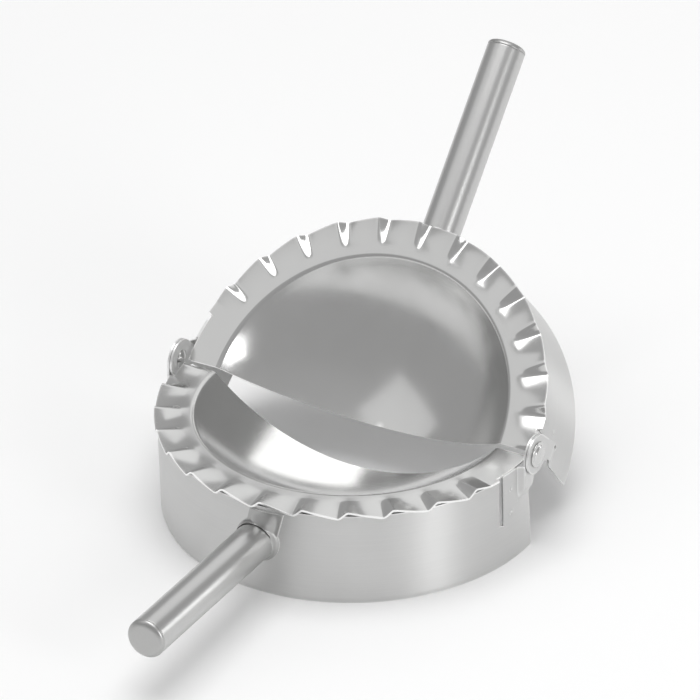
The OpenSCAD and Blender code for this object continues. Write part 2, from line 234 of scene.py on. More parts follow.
class PRESS_PG_handle(bpy.types.PropertyGroup):
    """Sizes of the handle tubes, their caps and necks."""

    radius: length("Radius", 7.5, "Outer radius of the handle tube")
    wall: length("Wall", 1.0, "Wall of the handle tube")
    reach: length("Reach", 81.0, "Length of the handle from the skirt to its end")
    height: length("Height", 23.2, "Height of the handle's axis at the skirt")
    rise: angle("Rise", 2.1, "Upward slope of the handle")
    cap: length("Cap", 2.2, "Length of the end cap outside the tube")
    cap_edge: length("Cap edge", 1.8, "Length of the cap's rounded edge")
    cap_round: length("Cap rounding", 2.8, "Width of the cap's rounded edge")
    seam: length("Seam", 0.25, "Half width and depth of the seam behind the cap")
    rib: length("Rib", 6.8, "Radius of the neck's rounded rib")
    rib_proud: length("Rib height", 3.0, "How far the rib stands out from the skirt")
    lean: angle("Lean", 15.0, "Sideways lean of the neck about the handle's axis")
    rib_shift: length("Rib shift", 0.8, "Sideways shift of the rib")
    lip: length("Lip", 1.6, "Width of the weld lip along the rib")
    lip_sheet: length("Lip sheet", 0.8, "Thickness of the neck's sheet")
    collar: length("Collar", 1.5, "Radial width of the collar's foot")
    collar_slim: length("Collar slimming", 0.4, "How much narrower the collar is above")
    collar_reach: length("Collar reach", 3.0, "Length of the collar along the handle")
    rib_end: length("Rib end", 1.1, "How far the rib stands out under the rim")
    neck_top: length("Neck top", 36.3, "Height of the neck's upper end")


class PRESS_PG_rivet(bpy.types.PropertyGroup):
    """Sizes of the hinge rivets."""

    shank: length("Shank", 2.0, "Radius of the shank")
    head: length("Head", 5.0, "Radius of the domed outer head")
    head_rise: length("Head rise", 1.8, "Height of the domed outer head")
    hollow: length("Hollow", 0.3, "Depth of the shallow ring round the head's dome")
    peen: length("Peened head", 3.5, "Radius of the peened inner head")
    peen_rise: length("Peened rise", 0.9, "Height of the peened inner head")
    inner_face: length("Inner face", 75.05, "Distance of the peened head's seat")
    outer_face: length("Outer face", 76.95, "Distance of the outer head's seat")


class PRESS_PG_finish(bpy.types.PropertyGroup):
    """Colours and roughness of the steel finishes."""

    dish_colour: colour("Dish", (0.60, 0.60, 0.595), "Pressed steel of the dish and rim")
    dish_rough: share("Dish roughness", 0.17)
    skirt_colour: colour("Skirt", (0.66, 0.66, 0.655), "Satin steel of the skirt")
    skirt_rough: share("Skirt roughness", 0.42)
    neck_colour: colour("Neck", (0.45, 0.45, 0.445), "Pressed steel of the neck")
    neck_rough: share("Neck roughness", 0.34)
    handle_colour: colour("Handle", (0.56, 0.56, 0.555), "Brushed steel of the handle")
    handle_rough: share("Handle roughness", 0.3)
    cap_colour: colour("Cap", (0.47, 0.47, 0.465), "Brushed steel of the end caps")
    cap_rough: share("Cap roughness", 0.36)
    rivet_colour: colour("Rivet", (0.62, 0.62, 0.615), "Polished steel of the rivets")
    rivet_rough: share("Rivet roughness", 0.18)


class PRESS_PG_stage(bpy.types.PropertyGroup):
    """Camera, floor and light."""

    azimuth: angle("Azimuth", 29.96, "Camera angle round from the front handle")
    elevation: angle("Elevation", 30.76, "Camera angle above the table")
    roll: angle("Roll", -1.58, "Turn of the camera about its line of sight")
    distance: length("Distance", 2284.3, "Distance of the camera", 4000.0)
    aim_right: length("Aim right", -2.77, "Sideways place of the view's middle", low=-200.0)
    aim_up: length("Aim up", 55.09, "Upward place of the view's middle")
    lens: bpy.props.FloatProperty(
        name="Lens", description="Focal length in millimetres on a 36 mm sensor",
        default=311.66, min=10.0)
    floor_colour: colour("Floor", (0.96, 0.96, 0.96), "Pale floor")
    room_low: share("Room light low", 0.47, "Strength near the horizon")
    room_high: share("Room light high", 0.52, "Strength overhead")


def mm(group, name):
    """A length property in millimetres."""
    return getattr(group, name) / MM


def sizes(group, names):
    """Several length properties in millimetres, named in one string."""
    return [mm(group, name) for name in names.split()]


def smooth(t):
    """Smooth step: 3 t squared less 2 t cubed, with t held between 0 and 1."""
    t = np.clip(t, 0.0, 1.0)
    return t * t * (3.0 - 2.0 * t)


def bell(t):
    """Bell curve: e to the power of minus t squared."""
    return np.exp(-t ** 2)


def wrapped(turn):
    """Angles in radians brought to between minus half a turn and half a turn."""
    return (turn + math.pi) % (2 * math.pi) - math.pi


def round_axis(radius, turn, height):
    """Points at a radius, an angle in radians round from the handle's side, and a height."""
    return np.stack(np.broadcast_arrays(
        radius * np.sin(turn), -radius * np.cos(turn), height), axis=2)


def put(name, data):
    """A new object in the scene with the given data."""
    made = bpy.data.objects.new(name, data)
    bpy.context.scene.collection.objects.link(made)
    return made


def placed(points, half):
    """Moves flat half-frame millimetres to the frame's metres.

    The front half is only shifted along Y. The back half is turned half round about the
    upright through the hinge's middle, then turned about the hinge by the fold angle.
    """
    p = np.array(points, float)
    if half == "back":
        c, s = math.cos(FOLD), math.sin(FOLD)
        y, z = -p[:, 1], p[:, 2] - HINGE_Z
        p = np.stack([-p[:, 0], c * y - s * z, s * y + c * z + HINGE_Z], axis=1)
    p[:, 1] += HINGE_Y
    return p * MM


def fold_angle():
    """The back half's fold, read from where both end caps lie as seen from the hinge line.

    The back cap is the front one turned half round and folded up.
    """
    flat, there = (sum(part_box(f"{half}_end_cap"), Vector()) / 2 / MM
                   - Vector((0, HINGE_Y, HINGE_Z)) for half in HALVES)
    return math.atan2(there.z, there.y) - math.atan2(flat.z, -flat.y)


# The middles of the boxes are a little off the axes, and the fold is in whole degrees.
FOLD = math.radians(round(math.degrees(fold_angle())))


def slab(outer, inner, keep=None, ring=False):
    """Corners and four-sided faces of a sheet between two grids of points.

    Every kept cell of the grid gives one face on each side. A wall joins the two sides
    wherever a kept cell has no kept neighbour, so that the sheet is closed. A ring's
    first and last rows lie on each other and have no wall. The last array is 1 at the
    corners of the walls and 0 elsewhere.
    """
    n, m = outer.shape[:2]
    points = np.concatenate([outer.reshape(-1, 3), inner.reshape(-1, 3)])
    index = np.arange(n * m).reshape(n, m)
    under = n * m
    if keep is None:
        keep = np.ones((n - 1, m - 1), bool)
    a, b = index[:-1, :-1][keep], index[1:, :-1][keep]
    c, d = index[1:, 1:][keep], index[:-1, 1:][keep]
    faces = [np.stack([a, b, c, d], 1), np.stack([d, c, b, a], 1) + under]
    wide = np.pad(keep, 1)
    if ring:
        wide[0], wide[-1] = wide[-2], wide[1]
    rows = wide[1:, 1:-1] != wide[:-1, 1:-1]
    cols = wide[1:-1, 1:] != wide[1:-1, :-1]
    p = np.concatenate([index[:, :-1][rows], index[:-1][cols]])
    q = np.concatenate([index[:, 1:][rows], index[1:][cols]])
    walls = np.stack([p, q, q + under, p + under], 1)
    # The walls' corners are marked for the finish's painted cut-edge highlight.
    cut = np.zeros(len(points))
    cut[walls.ravel()] = 1.0
    return points, np.concatenate([*faces, walls]), cut


def lathe(profile, sides):
    """Surface of revolution: each profile point (along, radius) carried round the axis.

    The axis is the first coordinate, and the angle starts at the second.
    """
    turn = np.radians(np.linspace(0.0, 360.0, sides + 1))[:, None]
    along, radius = np.array(profile, float).T
    grid = np.stack(np.broadcast_arrays(
        along, radius * np.cos(turn), radius * np.sin(turn)), axis=2)
    n, m = grid.shape[:2]
    index = np.arange(n * m).reshape(n, m)
    faces = np.stack([
        index[:-1, :-1], index[1:, :-1], index[1:, 1:], index[:-1, 1:]], axis=2)
    return grid.reshape(-1, 3), faces.reshape(-1, 4), np.zeros(n * m)


def arc(centre, radius, start, end, steps):
    """Points of a round stretch of a profile, from one angle in degrees to another."""
    t = np.radians(np.linspace(start, end, steps))
    return np.stack([centre[0] + radius * np.cos(t), centre[1] + radius * np.sin(t)], 1)


def dome(half, rise):
    """Radius and half angle in degrees of an arc with this half width and this rise."""
    radius = (half ** 2 + rise ** 2) / (2 * rise)
    return radius, math.degrees(math.asin(half / radius))


def thicken(top, sheet):
    """The other side of a sheet: each grid point moved against the surface normal.

    The normal is the cross product of the grid's two directions. It points straight up
    where points coincide, as at the bottom of the bowl.
    """
    along = np.gradient(top, axis=0)
    across = np.gradient(top, axis=1)
    normal = np.cross(across, along)
    size = np.linalg.norm(normal, axis=2, keepdims=True)
    normal = normal / np.maximum(size, TINY)
    normal[size[..., 0] < TINY] = (0.0, 0.0, 1.0)
    return top - normal * sheet


def make_piece(name, parts, half, finish, replaced, crease=CREASE):
    """Joins slabs and lathes into one closed mesh, places it and gives it its finish.

    The flat half-frame place of every point is kept as an attribute, in metres, so that a
    finish follows the sheet in the same way on both halves. A second attribute marks the
    sheet's cut edges for a painted highlight, and the UV map runs up the piece and round it.
    """
    offsets = np.cumsum([0] + [len(part[0]) for part in parts])
    points = np.concatenate([part[0] for part in parts])
    faces = np.concatenate([part[1] + offset for part, offset in zip(parts, offsets)])
    mesh = bpy.data.meshes.new(name)
    mesh.from_pydata(points.tolist(), [], faces.tolist())
    cut = mesh.attributes.new(HIGHLIGHT_EDGE_NAME, "FLOAT", "POINT")
    cut.data.foreach_set("value", np.concatenate([part[2] for part in parts]))
    work = bmesh.new()
    work.from_mesh(mesh)
    bmesh.ops.remove_doubles(work, verts=work.verts, dist=SAME_POINT)
    bmesh.ops.dissolve_degenerate(work, edges=work.edges, dist=NO_LENGTH)
    bmesh.ops.recalc_face_normals(work, faces=work.faces)
    work.to_mesh(mesh)
    work.free()
    flat = np.zeros(len(mesh.vertices) * 3)
    mesh.vertices.foreach_get("co", flat)
    flat = flat.reshape(-1, 3)
    keep = mesh.attributes.new(PLACE_NAME, "FLOAT_VECTOR", "POINT")
    keep.data.foreach_set("vector", (flat * MM).ravel())
    mesh.vertices.foreach_set("co", placed(flat, half).ravel())
    corner = np.zeros(len(mesh.loops), np.int32)
    mesh.loops.foreach_get("vertex_index", corner)
    around = np.arctan2(flat[:, 0], -flat[:, 1])
    up_round = np.stack([flat[:, 2] / BRUSH_HEIGHT, around / math.pi + 0.5], axis=1)[corner]
    mesh.uv_layers.new(name=BRUSH_NAME).data.foreach_set("uv", up_round.ravel())
    mesh.shade_smooth()
    mesh.set_sharp_from_angle(angle=math.radians(crease))
    mesh.update()
    mesh.materials.append(finish)
    piece = put(name, mesh)
    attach(piece, f"{half}_half")
    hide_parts(replaced)


def feed(target, **values):
    """Links a node's named inputs to outputs or sets them, and sets its other settings."""
    for name, value in values.items():
        if name not in target.inputs:
            setattr(target, name, value)
        elif isinstance(value, bpy.types.NodeSocket):
            target.id_data.links.new(value, target.inputs[name])
        else:
            target.inputs[name].default_value = value
    return target


def node(tree, kind, **values):
    """A new shader node with the named settings and inputs."""
    return feed(tree.nodes.new(kind), **values)


def steel(kind, looks, grain, line_depth, smudge, streaks, spread=0.0):
    """Brushed steel: fine lines along one direction, soft smudges, painted cut-edge highlights.

    kind picks the colour and the roughness. grain is how many lines a metre the brushing
    has along X, Y and Z of the flat half frame, so a small number runs along the lines
    and a large one across them. line_depth is the lines' depth in metres, streaks is how
    much they lighten and darken the colour, and smudge is how far the roughness wanders.
    spread draws the reflections out up and down the piece, as level brush lines do.
    """
    base, rough = getattr(looks, f"{kind}_colour"), getattr(looks, f"{kind}_rough")
    finish = bpy.data.materials.new(f"{kind} steel")
    finish.use_nodes = True
    tree = finish.node_tree
    place = node(tree, "ShaderNodeAttribute", attribute_name=PLACE_NAME).outputs["Vector"]
    cut = node(tree, "ShaderNodeAttribute", attribute_name=HIGHLIGHT_EDGE_NAME).outputs["Fac"]
    stretch = node(tree, "ShaderNodeMapping", Scale=grain, Vector=place)
    lines = node(tree, "ShaderNodeTexNoise", Scale=1.0, Detail=NOISE_DETAIL,
                 Roughness=LINE_MIX, Vector=stretch.outputs["Vector"]).outputs["Fac"]
    cloud = node(tree, "ShaderNodeTexNoise", Scale=SMUDGE_SCALE, Detail=NOISE_DETAIL,
                 Roughness=SMUDGE_MIX, Vector=place).outputs["Fac"]
    low = tuple(c * (1.0 - streaks) for c in base) + (1.0,)
    high = tuple(min(1.0, c * (1.0 + streaks)) for c in base) + (1.0,)
    tint = node(tree, "ShaderNodeMix", data_type="RGBA", Factor=lines, A=low, B=high)
    # Cut edges are mixed towards near white: a painted highlight where the sheet's edges catch
    # the light.
    near = node(tree, "ShaderNodeMath", operation="POWER", Value=cut)
    near.inputs[1].default_value = HIGHLIGHT_FADE
    edge = node(tree, "ShaderNodeMix", data_type="RGBA", Factor=near.outputs["Value"],
                A=tint.outputs["Result"], B=CUT_EDGE_HIGHLIGHT)
    gloss = node(tree, "ShaderNodeMapRange", Value=cloud, **{
        "From Min": SMUDGE_LOW, "From Max": SMUDGE_HIGH,
        "To Min": rough - smudge, "To Max": rough + smudge})
    bump = node(tree, "ShaderNodeBump", Strength=BUMP_STRENGTH, Distance=line_depth,
                Height=lines)
    shader = feed(tree.nodes["Principled BSDF"], Metallic=1.0, Anisotropic=spread,
                  Roughness=gloss.outputs["Result"], Normal=bump.outputs["Normal"],
                  **{"Base Color": edge.outputs["Result"]})
    if spread:
        way = node(tree, "ShaderNodeTangent", direction_type="UV_MAP", uv_map=BRUSH_NAME)
        feed(shader, Tangent=way.outputs["Tangent"])
    return finish


def tooth_pitch(dish):
    """The angle in degrees that one tooth takes up."""
    return 180.0 / dish.teeth


def plain_start(dish):
    """The angle in degrees where the rim's flat right end starts, within the last teeth."""
    return (dish.teeth / 2 - 1.5) * tooth_pitch(dish)


def tooth_wave(dish, degrees):
    """Height of the toothed rim at an angle, from -1 at a root to 1 at a crest.

    Going round, each pitch climbs a short steep flank about its start and falls along a
    long flank to the next root. The corners are rounded by averaging over a short window.
    """
    up = [0.0, dish.steep * KNEE, dish.steep, dish.steep + SHOULDER]
    rise = [0.0, KNEE_RISE, 1.0, SHOULDER_RISE]
    at = up + [1.0 - u for u in reversed(up)]
    window = np.linspace(-0.5, 0.5, 9) * dish.soften
    u = degrees[:, None] / tooth_pitch(dish) + window
    return np.interp(u - np.floor(u), at, rise + [-r for r in reversed(rise)]).mean(axis=1)


def tooth_lift(dish, degrees):
    """Height of the rim's outer edge over its middle height: half a tooth times the wave."""
    return tooth_wave(dish, degrees) * mm(dish, "tooth_height") / 2


def dish_parts(group):
    """The dish: height as a function of the angle round it and the distance out.

    Going out from the hinge's middle the sheet is a spherical cap, a rounded turn, a flat
    band and then the teeth, whose height grows in proportion to the distance from the
    band. Near the hinge the points are drawn back to the straight cut edge.
    """
    rim_r, rim_z, width = sizes(group, "rim_radius rim_height tooth_width")
    turn, band, depth = sizes(group, "turn_radius band depth")
    tooth_r = rim_r - width
    turn_x = tooth_r - band
    ball_sum, lean = dome(turn_x, depth)
    ball_r = ball_sum - turn
    ball_z = rim_z - depth + ball_r
    bowl = arc((0.0, ball_z), ball_r, -90.0, -90.0 + lean, 26)
    bend = arc((turn_x, rim_z - turn), turn, 90.0 + lean, 90.0, 8)
    bowl_part = np.concatenate([bowl, bend[1:]])
    degrees = np.arange(-90.0, 90.01, 0.25)
    start, end = math.degrees(group.tooth_start), math.degrees(group.tooth_end)
    toothed = (degrees >= start) & (degrees <= end)
    lift = np.where(degrees > plain_start(group), 0.0, tooth_lift(group, degrees))
    edge_r = np.where(toothed, rim_r, mm(group, "plain_radius"))
    out = np.linspace(0.0, 1.0, 15)
    band_r = tooth_r + np.outer(edge_r - tooth_r, out)
    band_z = rim_z + lift[:, None] * (band_r - tooth_r) / width
    radius, height = (
        np.concatenate([np.broadcast_to(inside, (len(degrees), len(inside))), outside], axis=1)
        for inside, outside in zip(bowl_part.T, (band_r, band_z)))
    top = round_axis(radius, np.radians(degrees)[:, None], height)
    top[..., 1] -= mm(group, "gap") * (1.0 + top[..., 1] / rim_r)
    return [
        slab(top, thicken(top, mm(group, "sheet"))),
        weld_tab(group, group.right_tab, group.right_tab_end),
        weld_tab(group, group.left_tab, group.left_tab_end)]


def weld_tab(group, start, end):
    """A tab turned down inside the skirt: a patch of a cylinder, by the angle and the height.

    Its upper edge follows the middle of the rim's sheet, which on the left rises and
    falls with the teeth.
    """
    degrees = np.degrees(np.linspace(start, end, 25))
    plain_r, rim_r, rim_z = sizes(group, "plain_radius rim_radius rim_height")
    width, sheet, seat, foot = sizes(group, "tooth_width sheet tab_seat tab_foot")
    radius = plain_r - seat
    lift = tooth_lift(group, degrees) * (radius - rim_r + width) / width
    top = rim_z - sheet / 2 + np.where(degrees < 0.0, lift, 0.0)
    z = foot + np.outer(top - foot, np.linspace(0.0, 1.0, 20))
    turn = np.radians(degrees)[:, None]
    return slab(round_axis(radius, turn, z), round_axis(radius - sheet, turn, z))


class PRESS_OT_dishes(bpy.types.Operator):
    """Builds both pressed half dishes with their toothed rims."""

    bl_idname = "press.dishes"
    bl_label = "Half dishes"

    def execute(self, context):
        group, looks = context.scene.press_dish, context.scene.press_finish
        finish = steel("dish", looks, grain=(60.0,) * 3, line_depth=0.00002,
                       smudge=0.05, streaks=0.03)
        for half in HALVES:
            make_piece(f"{half}_half_dish", dish_parts(group), half, finish,
                       f"{half}_dish")
        return {"FINISHED"}


def ear_foot(group):
    """Height where an ear's concave fillet meets the upright end of its strip.

    The fillet's circle touches the ear's circle, so their centres are both radii apart.
    """
    ear_r, fillet, end = sizes(group, "ear_radius ear_fillet end_high")
    return HINGE_Z - math.sqrt((ear_r + fillet) ** 2 - (fillet - end) ** 2)


def bend_foot(group):
    """Height where the inner ear's strip starts to bend outwards."""
    return ear_foot(group) - mm(group, "bend_drop")


def end_gap(group, z):
    """Gap from the skirt's end to the hinge line: it widens evenly up to the ears' bend."""
    low, high = sizes(group, "end_low end_high")
    return low + (high - low) * np.clip(z / bend_foot(group), 0.0, 1.0)


def top_dip(dish, degrees, radius):
    """How far the skirt's top dips at an angle, as a wave with a stretch under each tooth.

    It is level over the first half of a pitch, falls along the long flank, stays low
    under the tooth root and comes back up with the steep flank.
    """
    rim_r, width, tooth = sizes(dish, "rim_radius tooth_width tooth_height")
    u = degrees / tooth_pitch(dish)
    deep = tooth / 2 * (radius - rim_r + width) / width
    fallen = 0.5 + (0.5 - dish.steep) * 0.9
    dip = np.interp(u - np.floor(u), [0.0, 0.5, fallen, 1.0 - dish.steep * KNEE, 1.0],
                    [0.0, 0.0, -deep, -deep, 0.0])
    return np.where(degrees > plain_start(dish), 0.0, dip)


def weld_relief(group, turn, z):
    """How far the spot welds lower the skirt's face: a round hollow and a ring about it.

    The hollow is a smooth step of the distance from the mark's middle, and the ring is a
    bell curve of the distance from the ring's own circle.
    """
    radius, slit_z, size, depth = sizes(group, "radius slit_foot weld_radius weld_depth")
    lowered = np.zeros(z.shape)
    for mark, above in WELD_MARKS:
        away = np.hypot(np.radians(turn - mark) * radius, z - slit_z - above)
        ring = bell((away - size * WELD_RING_PLACE) / WELD_RING_WIDTH)
        lowered += 1.0 - smooth(away / size) - WELD_RING_RISE * ring
    return depth * lowered


def skirt_wall(group, dish):
    """The skirt's wall: a half cylinder as a function of the angle and the height.

    The foot is bevelled on the outside, the top edge dips under every tooth root, cells
    inside the slits and above the ears' bends are left out, and the spot welds are
    shallow round dimples. Round the thin slit's end the grid's squares are drawn in to
    circles, so that the hole there is round.
    """
    radius, sheet, edge, bevel = sizes(group, "radius sheet edge bevel")
    wide_y, wide, thin_y, thin = sizes(group, "wide_slit_y wide_slit thin_slit_y thin_slit")
    slit_z, hole_r = sizes(group, "slit_foot slit_end")
    rim_z, bend_z, hole_z = mm(dish, "rim_height"), bend_foot(group), slit_z + hole_r
    wide, thin = wide / 2, thin / 2

    def at_y(y):
        """The angle in degrees at which the skirt is y from the hinge line."""
        return 90.0 - math.degrees(math.asin(y / radius))

    end, ear = at_y(mm(group, "end_low")), at_y(sum(sizes(group, "ear_radius joggle")))
    wide_low, wide_high = at_y(wide_y + wide), at_y(wide_y - wide)
    thin_low, thin_high = -at_y(thin_y - thin), -at_y(thin_y + thin)
    hole_low, hole_high = -at_y(thin_y - hole_r), -at_y(thin_y + hole_r)
    left, right, last = -76.0, 74.0, 84.0
    degrees = np.unique(np.round(np.concatenate([
        np.arange(left, right + 0.01, 0.6), np.arange(right, last, 0.2),
        np.arange(-last, left, 0.2), np.linspace(last, end, 12), np.linspace(-end, -last, 12),
        [wide_low, wide_high, ear, thin_low, thin_high, hole_low, hole_high]]), 4))
    levels = np.unique(np.round(np.concatenate([
        [0.0, bevel / 2, bevel], np.arange(2.5, slit_z, 1.0),
        np.arange(slit_z, 35.0, 0.4), [hole_z, hole_z + hole_r, bend_z]]), 4))
    high = np.linspace(0.0, 1.0, 5)[1:]
    a = degrees[:, None]
    top = rim_z - mm(dish, "sheet") - mm(group, "seat") + top_dip(dish, a, radius)
    top = np.where(a > at_y(wide_y), rim_z, top)
    z = np.concatenate([
        np.broadcast_to(levels, (len(degrees), len(levels))),
        levels[-1] + (top - levels[-1]) * high], axis=1)
    limit = 90.0 - np.degrees(np.arcsin(end_gap(group, z) / radius))
    turn = np.clip(np.broadcast_to(a, z.shape), -limit, limit)
    arc_y = np.radians(90.0 - np.abs(turn)) * radius
    slope = np.interp(arc_y, [wide_y - wide - 2.0, wide_y - wide, wide_y + wide], [0.0, 1.0, 0.0])
    slope = slope * (turn > 0.0) * np.clip(1.0 - np.abs(z - slit_z) / 3.0, 0.0, 1.0)
    z = z - mm(group, "slit_slope") * slope
    off_y, off_z = arc_y - thin_y, z - hole_z
    square = np.maximum(np.abs(off_y), np.abs(off_z)) / hole_r
    rounder = square * hole_r / np.maximum(np.hypot(off_y, off_z), TINY) - 1.0
    rounder = rounder * np.clip(2.0 - square, 0.0, 1.0) * (turn < 0.0)
    turn = turn + np.degrees(off_y * rounder / radius)
    z = z + off_z * rounder
    foot = np.clip(z / bevel, 0.0, 1.0)
    outer_r = radius - (sheet - edge) * (1.0 - foot) - weld_relief(group, turn, z)
    t = np.radians(turn)
    mid_a = (degrees[:-1] + degrees[1:])[:, None] / 2
    mid_z = np.concatenate([(levels[:-1] + levels[1:]) / 2, np.full(len(high), rim_z)])
    in_wide = (mid_a > wide_low) & (mid_a < wide_high) & (mid_z > slit_z)
    in_ear = (mid_a > ear) & (mid_z > bend_z)
    in_thin = (mid_a < thin_high) & (mid_z > hole_z)
    in_hole = (mid_a > hole_low) & (mid_a < hole_high) & (np.abs(mid_z - hole_z) < hole_r)
    return slab(round_axis(outer_r, t, z), round_axis(radius - sheet, t, z),
                ~(in_wide | in_ear | in_thin | in_hole))


def strip_bend(z, low_z, ear_z):
    """How far an ear's strip has bent out at a height: 0 on the wall, 1 in the ear."""
    return smooth((z - low_z) / (ear_z + BEND_OVER - low_z))


def ear_sheet(group, near_face, low_z, foot_y, side):
    """An ear and the strip that carries it, as a function of the row and the width.

    Each row is level. The strip's left and right sides are straight up to the ear, where
    a concave fillet and the ear's own circle take over. The distance out goes from the
    skirt's cylinder to the ear's plane in a smooth bend.
    """
    radius, sheet, ear_r, fillet = sizes(group, "radius sheet ear_radius ear_fillet")
    ear_z = ear_foot(group)
    join_z = HINGE_Z - (HINGE_Z - ear_z) * ear_r / (ear_r + fillet)
    circle_z = HINGE_Z + ear_r * np.sin(np.radians(np.linspace(-90.0, 90.0, 60)))
    rows = np.unique(np.round(np.concatenate([
        np.linspace(low_z - STRIP_LAP, ear_z, 14), np.linspace(ear_z, join_z, 16),
        circle_z[circle_z > join_z]]), 5))
    up = rows - HINGE_Z
    circle = np.sqrt(np.maximum(ear_r ** 2 - up ** 2, 0.0))
    left = np.where(up > 0.0, -circle, np.interp(rows, [low_z, ear_z, HINGE_Z],
                                                 [-foot_y, -foot_y, -ear_r]))
    centre_y = fillet - mm(group, "end_high")
    hollow = centre_y - np.sqrt(np.maximum(fillet ** 2 - (rows - ear_z) ** 2, 0.0))
    right = np.where(rows < join_z, hollow, circle)
    right = np.where(rows < ear_z, -end_gap(group, rows), right)
    y = left[:, None] + (right - left)[:, None] * np.linspace(0.0, 1.0, 22)
    z = np.broadcast_to(rows[:, None], y.shape)
    wall_x = np.sqrt(radius ** 2 - np.minimum(np.abs(y), ear_r + 4.0) ** 2)
    bent = strip_bend(z, low_z, ear_z)
    x = (wall_x - EAR_TUCK) * (1.0 - bent) + (near_face + sheet) * bent
    inner_x = x - sheet + 2 * EAR_TUCK * (1.0 - bent)
    points, faces, cut = slab(*(np.stack([face * side, y, z], axis=2) for face in (x, inner_x)))
    # Low down on the strip the edges get no painted cut-edge highlight.
    return points, faces, np.where(points[:, 2] < HINGE_Z - ear_r * 0.7, 0.0, cut)


def joggle_sheet(group, rim_z):
    """The bend beside the inner ear: an S curve in plan that fades out downwards.

    Each row is level. Its distance out goes from the skirt's cylinder to the ear's plane
    in a smooth step across the row, and the step grows up the bend's drop as the ear's
    own strip does, so that the two join without a gap.
    """
    radius, sheet, ear_r = sizes(group, "radius sheet ear_radius")
    ear_z, low_z = ear_foot(group), bend_foot(group)
    joggle_y = ear_r + mm(group, "joggle")
    s = np.linspace(0.0, 1.0, 19)
    y = -joggle_y - JOGGLE_LAP + (joggle_y + 2 * JOGGLE_LAP - ear_r) * s
    rows = np.concatenate([
        np.linspace(low_z - STRIP_LAP, ear_z, 16), np.linspace(ear_z, rim_z, 10)[1:]])
    grid_y, grid_z = np.meshgrid(y, rows)
    bent = smooth((s - JOGGLE_START) / JOGGLE_SPAN) * strip_bend(grid_z, low_z, ear_z)
    x = np.sqrt(radius ** 2 - grid_y ** 2) * (1.0 - bent)
    x = x + (mm(group, "inner_ear") + sheet) * bent
    outer = np.stack([x - JOGGLE_TUCK, grid_y, grid_z], axis=2)
    return slab(outer, outer - (sheet - 2 * JOGGLE_TUCK, 0.0, 0.0))


def skirt_parts(group, dish):
    """The skirt's wall with both of its ears and the bend beside the inner one."""
    ear_r, inner, outer, slit_z = sizes(group, "ear_radius inner_ear outer_ear slit_foot")
    return [
        skirt_wall(group, dish),
        ear_sheet(group, inner, bend_foot(group), ear_r, 1.0),
        ear_sheet(group, outer, slit_z + 1.0, ear_r + 1.0, -1.0),
        joggle_sheet(group, mm(dish, "rim_height"))]


class PRESS_OT_skirts(bpy.types.Operator):
    """Builds both half-round cutting skirts with their hinge ears."""

    bl_idname = "press.skirts"
    bl_label = "Cutting skirts"

    def execute(self, context):
        scene = context.scene
        finish = steel("skirt", scene.press_finish, grain=(25.0, 25.0, 2600.0),
                       line_depth=0.00001, smudge=0.03, streaks=0.04, spread=0.85)
        for half in HALVES:
            make_piece(f"{half}_cutting_skirt", skirt_parts(scene.press_skirt, scene.press_dish),
                       half, finish, f"{half}_skirt")
        return {"FINISHED"}


def on_handle(group, skirt, points):
    """Places (along, across, up) points round the handle's axis, along from the skirt."""
    c, s = math.cos(group.rise), math.sin(group.rise)
    along, across, up = points.T
    moved = np.stack([across, up * s - along * c, along * s + up * c], axis=1)
    return moved + (0.0, -mm(skirt, "radius"), mm(group, "height"))


def tube_parts(group, skirt):
    """The handle tube: a wall profile carried round the handle's axis.

    Points that would lie behind the skirt's surface are drawn forwards on to it.
    """
    r, wall, seam, reach, cap = sizes(group, "radius wall seam reach cap")
    start, end = -TUBE_SUNK, reach - cap
    outer = [(start, r), (start + 4.0, r), (end - 20.0, r), (end - 2 * seam, r)]
    round_off = arc((end - seam, r - seam), seam, 90.0, 0.0, 5)
    inner = [(end, r - wall), (start, r - wall), (start, r)]
    points, faces, cut = lathe(np.concatenate([outer, round_off, inner]), HANDLE_SIDES)
    points = on_handle(group, skirt, points)
    wall_y = -np.sqrt((mm(skirt, "radius") + TUBE_GAP) ** 2 - points[:, 0] ** 2)
    points[:, 1] = np.minimum(points[:, 1], wall_y)
    return [(points, faces, cut)]


def cap_parts(group, skirt):
    """The end cap: a disc with a spigot, turned about the handle's axis.

    The disc's far edge is a quarter of an ellipse, and its near edge a quarter circle.
    """
    r, wall, seam, end, cap = sizes(group, "radius wall seam reach cap")
    edge, wide = sizes(group, "cap_edge cap_round")
    start, bore = end - cap, r - wall - SPIGOT_GAP
    near = arc((start + seam, r - seam), seam, 180.0, 90.0, 5)
    far = arc((0.0, 0.0), 1.0, 90.0, 0.0, 13) * (edge, wide) + (end - edge, r - wide)
    profile = np.concatenate([
        [(start - SPIGOT, 0.0), (start - SPIGOT, bore), (start, bore)], near, far,
        [(end, r / 2), (end, 0.0)]])
    points, faces, cut = lathe(profile, HANDLE_SIDES)
    return [(on_handle(group, skirt, points), faces, cut)]


class PRESS_OT_handles(bpy.types.Operator):
    """Builds both handle tubes and their end caps."""

    bl_idname = "press.handles"
    bl_label = "Handles"

    def execute(self, context):
        scene = context.scene
        group, looks = scene.press_handle, scene.press_finish
        finish = steel("handle", looks, grain=(40.0, 3000.0, 40.0), line_depth=0.000003,
                       smudge=0.005, streaks=0.03)
        face = steel("cap", looks, grain=(900.0, 40.0, 900.0), line_depth=0.000008,
                     smudge=0.03, streaks=0.03)
        for half in HALVES:
            make_piece(f"{half}_handle", tube_parts(group, scene.press_skirt), half,
                       finish, f"{half}_handle_tube")
            make_piece(f"{half}_handle_end", cap_parts(group, scene.press_skirt), half,
                       face, f"{half}_end_cap")
        return {"FINISHED"}


def larger(a, b):
    """The larger of two heights, rounded in the corner where they cross.

    It is half of their sum and of the root of their squared difference plus BLEND squared.
    """
    return (a + b + np.sqrt((a - b) ** 2 + BLEND ** 2)) / 2


